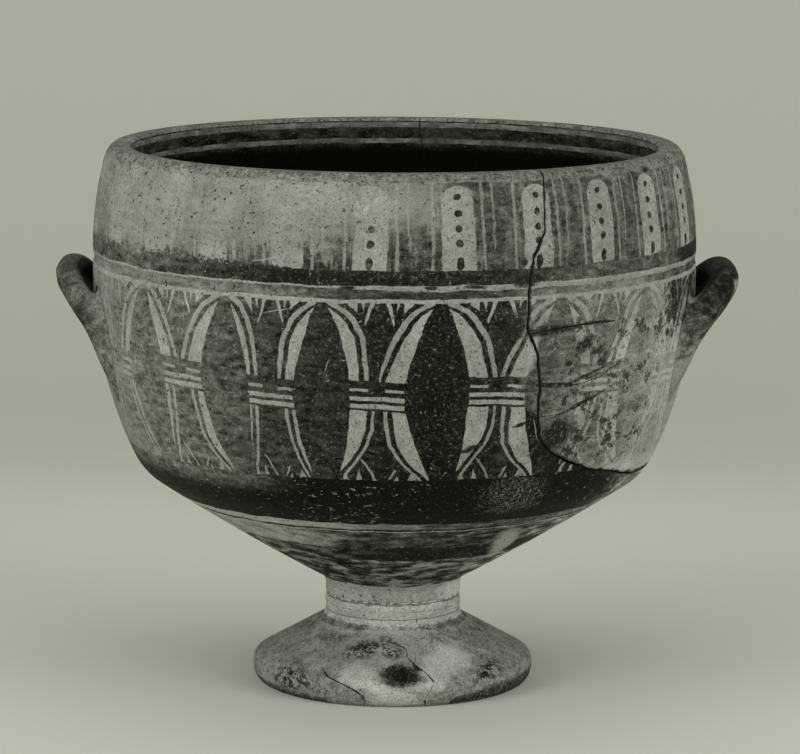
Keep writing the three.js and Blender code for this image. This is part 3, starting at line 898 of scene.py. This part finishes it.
def outside_profile():
    cone_from = along(CONE_START, TURN, 3.2)
    cone_to = along(TURN, CONE_START, 7)
    swell = Vector((cone_to[1] - cone_from[1], cone_from[0] - cone_to[0])).normalized() * 1.6
    cone_middle = tuple((Vector(cone_from) + Vector(cone_to)) / 2 + swell)
    wall_from = along(TURN, WALL_AIM, 7)
    points = [(STEM_RADIUS, STUB)]
    points += straight(points[-1], (STEM_RADIUS, STEM_TOP - 3.2), 2)
    points += bend(points[-1], CONE_START, cone_from, 5)
    points += bend(cone_from, cone_middle, cone_to, 44)
    points += bend(cone_to, TURN, wall_from, 9)
    points += sweep(wall_from, WALL_AIM, (BELLY_RADIUS, BELLY - 39), (BELLY_RADIUS, BELLY), 46)
    points += straight(points[-1], (BELLY_RADIUS, GROOVE_LOW), 3)
    points += [(BELLY_RADIUS - 0.35, GROOVE_LOW + 0.4), (BELLY_RADIUS - 0.6, GROOVE_LOW + 1.0)]
    points += straight(points[-1], (BELLY_RADIUS - 0.6, GROOVE_HIGH - 1.0), 2)
    points += [(BELLY_RADIUS - 0.3, GROOVE_HIGH - 0.5), (BELLY_RADIUS, GROOVE_HIGH)]
    points += sweep(points[-1], (BELLY_RADIUS, GROOVE_HIGH + 12), (130.8, 216), (127.8, 228), 18)
    points += bend(points[-1], (126.6, 236), (LIP_OUTER, RIM), 7)
    return points


def inside_profile():
    aim = tuple(Vector(WALL_AIM) + Vector(INNER_TURN) - Vector(TURN))
    cone_aim = tuple(Vector(CONE_START) + Vector(INNER_TURN) - Vector(TURN))
    floor_edge = along(INNER_TURN, cone_aim, INNER_TURN[0] - 32)
    points = straight((LIP_OUTER, RIM), (LIP_INNER, RIM), 3)
    points += bend(points[-1], (MOUTH_RADIUS, RIM), (MOUTH_RADIUS, 235.8), 4)
    points += sweep(points[-1], (MOUTH_RADIUS, 226), (INNER_RADIUS, 214), (INNER_RADIUS, GROOVE_HIGH), 12)
    points += straight(points[-1], (INNER_RADIUS, BELLY), 2)
    wall_end = along(INNER_TURN, aim, 7)
    points += sweep(points[-1], (INNER_RADIUS, BELLY - 39), aim, wall_end, 20)
    points += bend(points[-1], INNER_TURN, along(INNER_TURN, cone_aim, 7), 5)
    points += straight(points[-1], floor_edge, 12)
    points += bend(points[-1], (floor_edge[0] * 0.55, FLOOR), (2.0, FLOOR), 7)
    points += [(0, FLOOR)]
    return points


def bowl_relief(place):
    """Soft wheel ridges and dents, all inwards, and an even skin where the handles are luted on."""
    if radius_of(place) < 20:
        return place
    ridge = 0.5 + 0.5 * noise.noise(Vector((math.atan2(place.y, place.x) * 1.2, place.z / 3.1, 4.0)))
    dent = 0.5 + 0.5 * grain(place, 46, 3.0)
    pit = max(0.0, grain(place, 5.5, 9.0) - 0.45) * 1.1
    inwards = min(0.16 * ridge + 0.34 * dent + pit, 1.2)
    side = abs(math.degrees(math.atan2(abs(place.x), -place.y)) - 90)
    calm = 1
    for inside_by in (34 - side, place.z - 95, 205 - place.z):
        calm *= max(0, min(1, inside_by / 8))
    return press_in(place, inwards + (SEAT_DEPTH - inwards) * calm)


def skin(azimuth, height):
    """A point on the outside of the wall."""
    for low, high in zip(OUTSIDE, OUTSIDE[1:]):
        if low[1] <= height <= high[1]:
            share = (height - low[1]) / (high[1] - low[1])
            return on_wheel(azimuth, low[0] + (high[0] - low[0]) * share, height)
    return on_wheel(azimuth, OUTSIDE[-1][0], height)


def wall_height(share):
    return TURN[1] + share * (RIM - TURN[1])


def wall_blade(name, crack, widths, seed, reach=0.5):
    """A blade through the wall along a crack, wider and ragged at its outer edge."""
    stations = [(azimuth, wall_height(share)) for azimuth, share in crack]
    line = wander(stations, 1.4, reach, seed)
    rows, sizes = [], []
    inner, throat_depth, proud = 55.5, 0.9, 9

    def shake(place, row):
        return noise.noise(Vector((place, seed, row)))

    for i, (azimuth, height) in enumerate(line):
        radius = radius_of(skin(azimuth, height))
        base = widths(azimuth, height)
        ragged = max(0, 0.25 + shake(i * 0.33, 0)) + 0.7 * max(0, shake(i * 0.9, 3))
        throat = base * (0.9 + 0.35 * shake(i * 0.6, 6))
        rows.append([on_wheel(azimuth, r, height) for r in (inner, radius - throat_depth, radius + proud)])
        sizes.append((throat, throat, throat + proud * base * ragged))
    return blade(name, rows, sizes)


# The cracks: azimuth, and height as a share of the wall from its turn to the rim
MAIN_CRACK = (
    (29.2, 1.06), (28.7, 0.94), (28, 0.83), (25.9, 0.77), (25, 0.71), (24.5, 0.55), (26.7, 0.477),
    (27.7, 0.39), (28, 0.29), (29.2, 0.225), (32.5, 0.17), (38, 0.13), (45, 0.092), (54, 0.067),
    (63.5, 0.042),
)
HIDDEN_CRACK = (
    (80, 0.035), (98, 0.045), (116, 0.06), (134, 0.1), (150, 0.19), (160, 0.36), (167, 0.6), (173.3, 0.82),
    (174.6, 1.06),
)
UPPER_CRACK = ((24.1, 0.535), (27, 0.539), (32, 0.55), (44.1, 0.553))
MIDDLE_CRACK = ((26.6, 0.391), (36, 0.373), (41, 0.386), (45.8, 0.421))
LOWER_CRACK = ((26.9, 0.284), (33.6, 0.287), (38.5, 0.314), (43.2, 0.349))
CLOSING_CRACK = ((42.2, 0.338), (44.7, 0.385), (45.2, 0.419), (44.4, 0.48), (43.4, 0.562))


def main_width(azimuth, height):
    """How wide the long crack is: widest in the middle of the front, and chipped under the lip."""
    if azimuth > 40:
        return 0.75 if azimuth < 70 else 0.5
    chip = max(0, 1 - abs(height - 206) / 6)
    if height > 187:
        return (0.72 if height > 206 else 0.75) + 0.7 * chip
    return 0.85 if height > 171 else 1.15


OUTSIDE = outside_profile()
outside = painted_outside()
inside = slipped_inside()
broken = broken_clay()
coil_clay = handle_finish()
foot_clay = foot_finish()
white_plaster = plaster_finish()

shell = throw("bowl_shell", [(0, STUB), (12, STUB), (24, STUB)] + OUTSIDE + inside_profile(), WHEEL_STEPS)
shape(shell, bowl_relief)
lay(shell, outside, inside, broken)
for face in shell.data.polygons:
    centre, normal = face.center / MM, face.normal
    radius = radius_of(centre)
    faces_axis = (centre.x * normal.x + centre.y * normal.y) / max(1, radius) < -0.05
    if centre.z < STUB + 0.1:
        face.material_index = 2
    elif centre.z < 236.5 and (faces_axis or (normal.z > 0.2 and radius < 120)):
        face.material_index = 1
    else:
        face.material_index = 0

main_blade = wall_blade("main_blade", MAIN_CRACK + HIDDEN_CRACK, main_width, 1.7)
lay(main_blade, broken)
cut(shell, main_blade)
parts = part_loose(shell)
wall, sherd = parts[0], parts[1]
for name, crack, width, seed in (
    ("upper_blade", UPPER_CRACK, 0.5, 5.1),
    ("middle_blade", MIDDLE_CRACK, 0.28, 8.3),
    ("lower_blade", LOWER_CRACK, 0.28, 11.9),
    ("closing_blade", CLOSING_CRACK, 0.14, 14.2),
):
    tool = wall_blade(name, crack, lambda azimuth, height, width=width: width, seed, 0.35)
    lay(tool, broken)
    cut(sherd, tool)
parts = part_loose(sherd)
sherd = parts[0]
small = sorted(parts[1:3], key=lambda part: middle_of(part).z)
for piece, name, node in (
    (wall, "painted_wall", "bowl_body"),
    (sherd, "right_wall_sherd", "right_sherd"),
    (small[1], "upper_small_sherd", "middle_sherd"),
    (small[0], "lower_small_sherd", "lower_sherd"),
):
    finish_piece(piece, name, node)


# The handles


def loop_line(coil_radius, reach, rise, steps):
    """The middle of a handle's coil, from its front root up and over to its back root."""
    start = radius_of(skin(0, ROOT_HEIGHT)) - coil_radius / 2
    root = math.radians(ROOT_AZIMUTH)
    found = []
    for i in range(steps + 1):
        angle = math.pi * i / steps
        across = math.copysign(abs(math.cos(angle)) ** 0.7, math.cos(angle))
        bow = abs(math.sin(angle)) ** 0.7
        out = start * math.cos(root) + reach * bow
        found.append(Vector((out, -start * math.sin(root) * across, ROOT_HEIGHT + rise * bow ** 0.78)))
    return found


def even(points, steps):
    """The same line with its points spaced evenly."""
    lengths = [0]
    for a, b in zip(points, points[1:]):
        lengths.append(lengths[-1] + (b - a).length)
    found, k = [], 0
    for i in range(steps + 1):
        goal = lengths[-1] * i / steps
        while k + 2 < len(points) and lengths[k + 1] < goal:
            k += 1
        share = (goal - lengths[k]) / (lengths[k + 1] - lengths[k])
        found.append(points[k].lerp(points[k + 1], min(1, share)))
    return found, lengths[-1]


def root_smear(root, coil_radius):
    """Stations down the wall under a root, thinning to the tip of the smeared clay."""
    steps, length, tip_radius = 14, 22, 4.5
    thinning = tip_radius - coil_radius - ROOT_SWELL
    found = []
    for i in range(steps):
        share = 1 - i / steps
        height = ROOT_HEIGHT - length * share
        radius = radius_of(skin(0, height)) - coil_radius / 2 - tip_radius * share / 2
        x = math.sqrt(radius ** 2 - root.y ** 2)
        found.append((Vector((x, root.y, height)), coil_radius + ROOT_SWELL + thinning * share))
    return found


def roll_coil(side, coil_radius, reach, rise):
    """A coil of clay bent into a loop, with its roots smeared down the wall, and the stations along it."""
    steps = 120
    line, length = even(loop_line(coil_radius, reach, rise, 900), steps)
    loop = []
    for i, centre in enumerate(line):
        to_root = min(i, steps - i) * length / steps
        loop.append((centre, coil_radius + ROOT_SWELL * math.exp(-((to_root / ROOT_REACH) ** 2))))
    stations = root_smear(line[0], coil_radius) + loop + root_smear(line[-1], coil_radius)[::-1]
    stations = [(Vector((side * centre.x, side * centre.y, centre.z)), radius) for centre, radius in stations]
    start_clean()
    bpy.ops.curve.primitive_bezier_circle_add(radius=MM)
    coil = bpy.context.object
    data = coil.data
    data.splines.clear()
    spline = data.splines.new("POLY")
    spline.points.add(len(stations) - 1)
    for point, (centre, radius) in zip(spline.points, stations):
        point.co = (*(centre * MM), 1)
        point.radius = radius
    data.dimensions = "3D"
    data.twist_mode = "MINIMUM"
    data.bevel_depth = MM
    data.bevel_resolution = 8
    data.use_fill_caps = True
    pick(coil)
    bpy.ops.object.convert(target="MESH")
    return bpy.context.object, stations


def wall_sector(side):
    """The part of the wall that a handle is luted to, as a closed slab."""
    outer = [(radius - SEAT_DEPTH, height) for radius, height in OUTSIDE if 106 < height < 198]
    inner = [(radius - 7, height) for radius, height in reversed(outer)]
    sector = turn_profile("sector", outer + inner + outer[:1], 72, 64)
    bpy.ops.mesh.select_all(action="DESELECT")
    bpy.ops.mesh.select_mode(type="VERT")
    bpy.ops.mesh.select_non_manifold()
    bpy.ops.mesh.fill_holes(sides=0)
    face_outwards()
    middle = middle_of(sector)
    turn = Matrix.Rotation(math.radians(90 * side) - math.atan2(middle.x, -middle.y), 3, "Z")
    shape(sector, lambda place: turn @ place)
    return sector


def wall_core():
    """The bowl filled to its axis, a hair larger than the wall, to cut the handles' seats."""
    outer = [(radius - SEAT_DEPTH + 0.1, height) for radius, height in OUTSIDE if 93 < height < 208]
    return throw("core", [(0, outer[0][1])] + outer + [(0, outer[-1][1])], 240)


def roll_handle(side, coil_radius, reach, rise, seed):
    """The coil melted into the wall with smoothed joins, and then cut to its seat."""
    coil, stations = roll_coil(side, coil_radius, reach, rise)
    sector = wall_sector(side)
    pick(sector)
    coil.select_set(True)
    bpy.ops.object.join()
    sector.data.remesh_voxel_size = HANDLE_VOXEL * MM
    bpy.ops.object.voxel_remesh()
    smooth = sector.vertex_groups.new(name="joins")
    tree = KDTree(len(stations))
    for number, (centre, _) in enumerate(stations):
        tree.insert(centre, number)
    tree.balance()
    for vertex in sector.data.vertices:
        place = vertex.co / MM
        above = abs(radius_of(place) - abs(skin(0, place.z).y))
        if above > JOIN_REACH:
            continue
        centre, number, distance = tree.find(place)
        off = abs(distance - stations[number][1])
        weight = max(0, 1 - above / JOIN_REACH) * max(0, 1 - off / JOIN_REACH)
        if weight > 0:
            smooth.add([vertex.index], min(1, weight * 1.6), "REPLACE")
    ease = sector.modifiers.new("Ease", "SMOOTH")
    ease.factor = 0.5
    ease.iterations = 70
    ease.vertex_group = smooth.name
    even_out = sector.modifiers.new("Even", "SMOOTH")
    even_out.factor = 0.5
    even_out.iterations = 3
    pick(sector)
    bpy.ops.object.modifier_apply(modifier=ease.name)
    bpy.ops.object.modifier_apply(modifier=even_out.name)
    cut(sector, wall_core())
    handle, *crumbs = part_loose(sector)
    for crumb in crumbs:
        bpy.data.objects.remove(crumb)

    def pressed(place):
        proud = min(1, max(0, radius_of(place) - abs(skin(0, place.z).y)) / 5)
        swell = grain(place, 13, seed) * 0.35 + grain(place, 4.5, seed + 5) * 0.1 - 0.2
        centre, _, _ = tree.find(place)
        return place + (place - centre).normalized() * swell * proud

    shape(handle, pressed)
    # How much each point faces the middle of the loop, for the painted shade on the inner sides
    middle = Vector((side * (stations[0][0].x * side - 4), 0, ROOT_HEIGHT + rise * 0.45))
    sheltered = handle.data.attributes.new("sheltered", "FLOAT", "POINT")
    for vertex, value in zip(handle.data.vertices, sheltered.data):
        centre, _, _ = tree.find(vertex.co / MM)
        value.value = (vertex.co / MM - centre).normalized().dot((middle - centre).normalized())
    lay(handle, coil_clay)
    return handle


for name, node, side, coil_radius, reach, rise, seed in (
    ("left_loop", "left_handle", -1, 5.7, 20.9, 30.3, 2.0),
    ("right_loop", "right_handle", 1, 6.5, 23.1, 29.3, 7.0),
):
    finish_piece(roll_handle(side, coil_radius, reach, rise, seed), name, node, 50)


# The foot, the broken stem and its filling

# The flat of a break reaches this far out, and its edge is this high
DISC_RADIUS = 26.5
EDGE = 0.15


def foot_profile():
    points = [(0, LOW_BREAK - 9.6), (6, 21.9), (12, 21.9)]
    skirt = (49.6, 8.6)
    points += bend((12, 21.9), along(skirt, (0, 22), 24), along(skirt, (0, 22), 20), 4)
    points += straight(points[-1], skirt, 8)
    points += straight(skirt, (50.2, 0.6), 5)
    points += [(50.7, 0.0)]
    points += straight(points[-1], (58.8, 0), 5)
    points += bend((58.8, 0), (FOOT_EDGE_RADIUS, 1.9), (FOOT_EDGE_RADIUS, 7.5), 8)
    points += bend((FOOT_EDGE_RADIUS, 7.5), (FOOT_EDGE_RADIUS, 11.6), (58.5, 13), 8)
    points += straight(points[-1], (31.6, 28.3), 24)
    points += bend(points[-1], (30.2, 29.1), (30, LOW_BREAK - 0.5), 4)
    points += [(29.8, LOW_BREAK - 0.05), (29, LOW_BREAK), (14, LOW_BREAK), (0, LOW_BREAK)]
    return points


def foot_relief(place):
    """Dents and pits, all inwards, with the break left as it is."""
    if radius_of(place) < 20 or place.z > LOW_BREAK - 0.3:
        return place
    dent = 0.5 + 0.5 * grain(place, 24, 1.0)
    pit = max(0.0, grain(place, 4.2, 6.0) - 0.4) * 1.2
    return press_in(place, 0.3 * dent + pit + 0.1 * (0.5 + 0.5 * grain(place, 2.4, 3.0)))


# The crack round the front sherd: azimuth, and shares of the foot's radius and height
FOOT_CRACK = (
    (-11.7, 0.916, -0.34), (-11.7, 0.973, 0.051), (-11.2, 0.989, 0.137), (-14.5, 1, 0.253),
    (-21, 0.989, 0.342), (-27.5, 0.965, 0.411), (-31.4, 0.924, 0.466), (-27.6, 0.852, 0.551),
    (-22, 0.772, 0.647),
    (-11, 0.667, 0.774), (0.5, 0.635, 0.815), (7.6, 0.683, 0.757), (8.4, 0.78, 0.64), (14, 0.892, 0.503),
    (17.3, 0.981, 0.37), (15, 1, 0.257), (13, 0.984, 0.11), (13.6, 0.965, 0.034), (13.6, 0.916, -0.34),
)


def foot_blade():
    """A blade round the front sherd, from inside the hollow foot out through its skin."""
    skins = [on_wheel(a, r * FOOT_EDGE_RADIUS, h * FOOT_HEIGHT) for a, r, h in FOOT_CRACK]
    inners = [on_wheel(a, 43, 2) for a, _, _ in FOOT_CRACK]
    rows, sizes = [], []
    for i in range(len(skins) - 1):
        count = max(1, round((skins[i + 1] - skins[i]).length / 2.2))
        for k in range(count + (i + 2 == len(skins))):
            share = k / count
            surface = skins[i].lerp(skins[i + 1], share)
            inner = inners[i].lerp(inners[i + 1], share)
            shake = Vector((grain(surface, 3.5, 2), grain(surface, 3.5, 5), grain(surface, 3.5, 8))) * 0.35
            surface = surface + shake
            outer = surface + (surface - inner).normalized() * 8
            rows.append([inner, outer])
            sizes.append((0.3, 0.36 + 0.7 * max(0, grain(surface, 3, 4))))
    return blade("foot_blade", rows, sizes)


foot = throw("foot_whole", foot_profile(), FOOT_STEPS)
shape(foot, foot_relief)
lay(foot, foot_clay, broken)
tool = foot_blade()
lay(tool, broken)
cut(foot, tool)
parts = part_loose(foot)
finish_piece(parts[0], "foot_ring", "foot")
finish_piece(parts[1], "foot_chip", "foot_front_sherd")


def worn_edge(reach, seed):
    """A rule that wears a stem piece inwards, up to about this reach."""
    def rule(place):
        if radius_of(place) < 26:
            return place
        chips = max(0, grain(place, 7, seed + 3)) * reach
        return press_in(place, reach * (0.5 + 0.5 * grain(place, 3.2, seed)) + chips)
    return rule


low_edge = (29.8, DRUM_BOTTOM + EDGE)
drum_profile = [(0, DRUM_BOTTOM), (DISC_RADIUS, DRUM_BOTTOM), (29.5, DRUM_BOTTOM), low_edge]
drum_profile += straight(low_edge, (30.2, 35), 4)
drum_profile += straight((30.2, 35), (29.9, DRUM_TOP - EDGE), 4)
drum_profile += [(29.6, DRUM_TOP), (DISC_RADIUS, DRUM_TOP), (0, DRUM_TOP)]
drum = throw("drum", drum_profile, FOOT_STEPS)
shape(drum, worn_edge(0.5, 3.0))
lay(drum, foot_clay)
finish_piece(drum, "stem_piece", "stem_drum")

filling_profile = [
    (0, PLASTER_BOTTOM), (DISC_RADIUS, PLASTER_BOTTOM), (29, PLASTER_BOTTOM), (29.7, PLASTER_BOTTOM + EDGE),
    (29.9, PLASTER_BOTTOM + 0.4), (29.7, PLASTER_TOP - EDGE), (29, PLASTER_TOP),
    (DISC_RADIUS, PLASTER_TOP), (0, PLASTER_TOP),
]
filling = throw("filling", filling_profile, FOOT_STEPS)
shape(filling, worn_edge(0.9, 8.0))
lay(filling, white_plaster)
finish_piece(filling, "stem_filling", "stem_plaster")


# The floor, the light and the camera


def paper_sweep():
    """A sheet of paper that lies under the bowl and rises in a round bend behind it."""
    start_clean()
    bpy.ops.mesh.primitive_plane_add(size=8, location=(0, -2.6, 0))
    paper = bpy.context.object
    paper.name = "paper_sweep"
    bpy.ops.object.transform_apply(location=True, rotation=True, scale=True)

    def pick_back_edge():
        bpy.ops.object.mode_set(mode="EDIT")
        bpy.ops.mesh.select_mode(type="EDGE")
        bpy.ops.mesh.select_all(action="DESELECT")
        bpy.ops.object.mode_set(mode="OBJECT")
        for edge in paper.data.edges:
            ends = [paper.data.vertices[v].co for v in edge.vertices]
            edge.select = all(abs(end.z) < 1e-4 and end.y > 1 for end in ends)
        bpy.ops.object.mode_set(mode="EDIT")

    pick_back_edge()
    bpy.ops.mesh.extrude_region_move(TRANSFORM_OT_translate={"value": (0, 0.6, 3)})
    pick_back_edge()
    bpy.ops.mesh.bevel(offset=0.9, segments=32, affect="EDGES")
    bpy.ops.object.mode_set(mode="OBJECT")
    bpy.ops.object.shade_smooth()
    f = Finish("pale_paper", 0.9)
    # The paper is paler near the bowl and darker further back: painted light and shade on one sheet
    near_and_far = ((0, (0.54, 0.547, 0.465, 1)), (1, (0.405, 0.41, 0.345, 1)))
    f.plug("Base Color", f.add("ShaderNodeValToRGB", {"stops": near_and_far}, [f.y.over(480, 420)]))
    # The paper is clear from its back, so that the bowl is seen from behind and from below too
    back = f.add("ShaderNodeNewGeometry", {}, {}, "Backfacing")
    clear = f.add("ShaderNodeBsdfTransparent", {}, {})
    sheet = f.add("ShaderNodeMixShader", {}, {0: back, 1: Field(f, f.shader.outputs[0]), 2: clear})
    f.tree.links.new(sheet.socket, f.tree.nodes["Material Output"].inputs["Surface"])
    lay(paper, f.material)


def softbox(name, place, target, size, power):
    start_clean()
    bpy.ops.object.light_add(type="AREA", location=place)
    lamp = bpy.context.object
    lamp.name = name
    lamp.data.shape = "RECTANGLE"
    lamp.data.size, lamp.data.size_y = size
    lamp.data.energy = power
    lamp.rotation_euler = (Vector(target) - Vector(place)).to_track_quat("-Z", "Y").to_euler()


paper_sweep()
softbox("left_softbox", (-1.9, -1.3, 1.0), (0, 0, 0.12), (1.3, 1.3), 29)
softbox("right_softbox", (1.9, -1.2, 0.9), (0, 0, 0.12), (1.3, 1.3), 27)
softbox("front_softbox", (0, -2.9, 0.75), (0, 0, 0.05), (2.2, 0.9), 15)
softbox("top_softbox", (0, 0.1, 2.2), (0, 0, 0.1), (1.6, 1.6), 6)

world = bpy.data.worlds.new("studio")
bpy.context.scene.world = world
world.use_nodes = True
world.node_tree.nodes["Background"].inputs["Color"].default_value = (1, 1, 0.97, 1)
world.node_tree.nodes["Background"].inputs["Strength"].default_value = 0.5

start_clean()
bpy.ops.object.camera_add(location=CAMERA_PLACE)
camera = bpy.context.object
camera.rotation_mode = "QUATERNION"
tilt = Matrix.Rotation(math.radians(90 - CAMERA_DOWN), 4, "X")
roll = Matrix.Rotation(math.radians(CAMERA_ROLL), 4, "Z")
camera.rotation_quaternion = (tilt @ roll).to_quaternion()
camera.data.sensor_width = 36
camera.data.lens = CAMERA_LENS
camera.data.shift_x = CAMERA_SHIFT
bpy.context.scene.camera = camera
bpy.context.scene.view_settings.view_transform = "Standard"
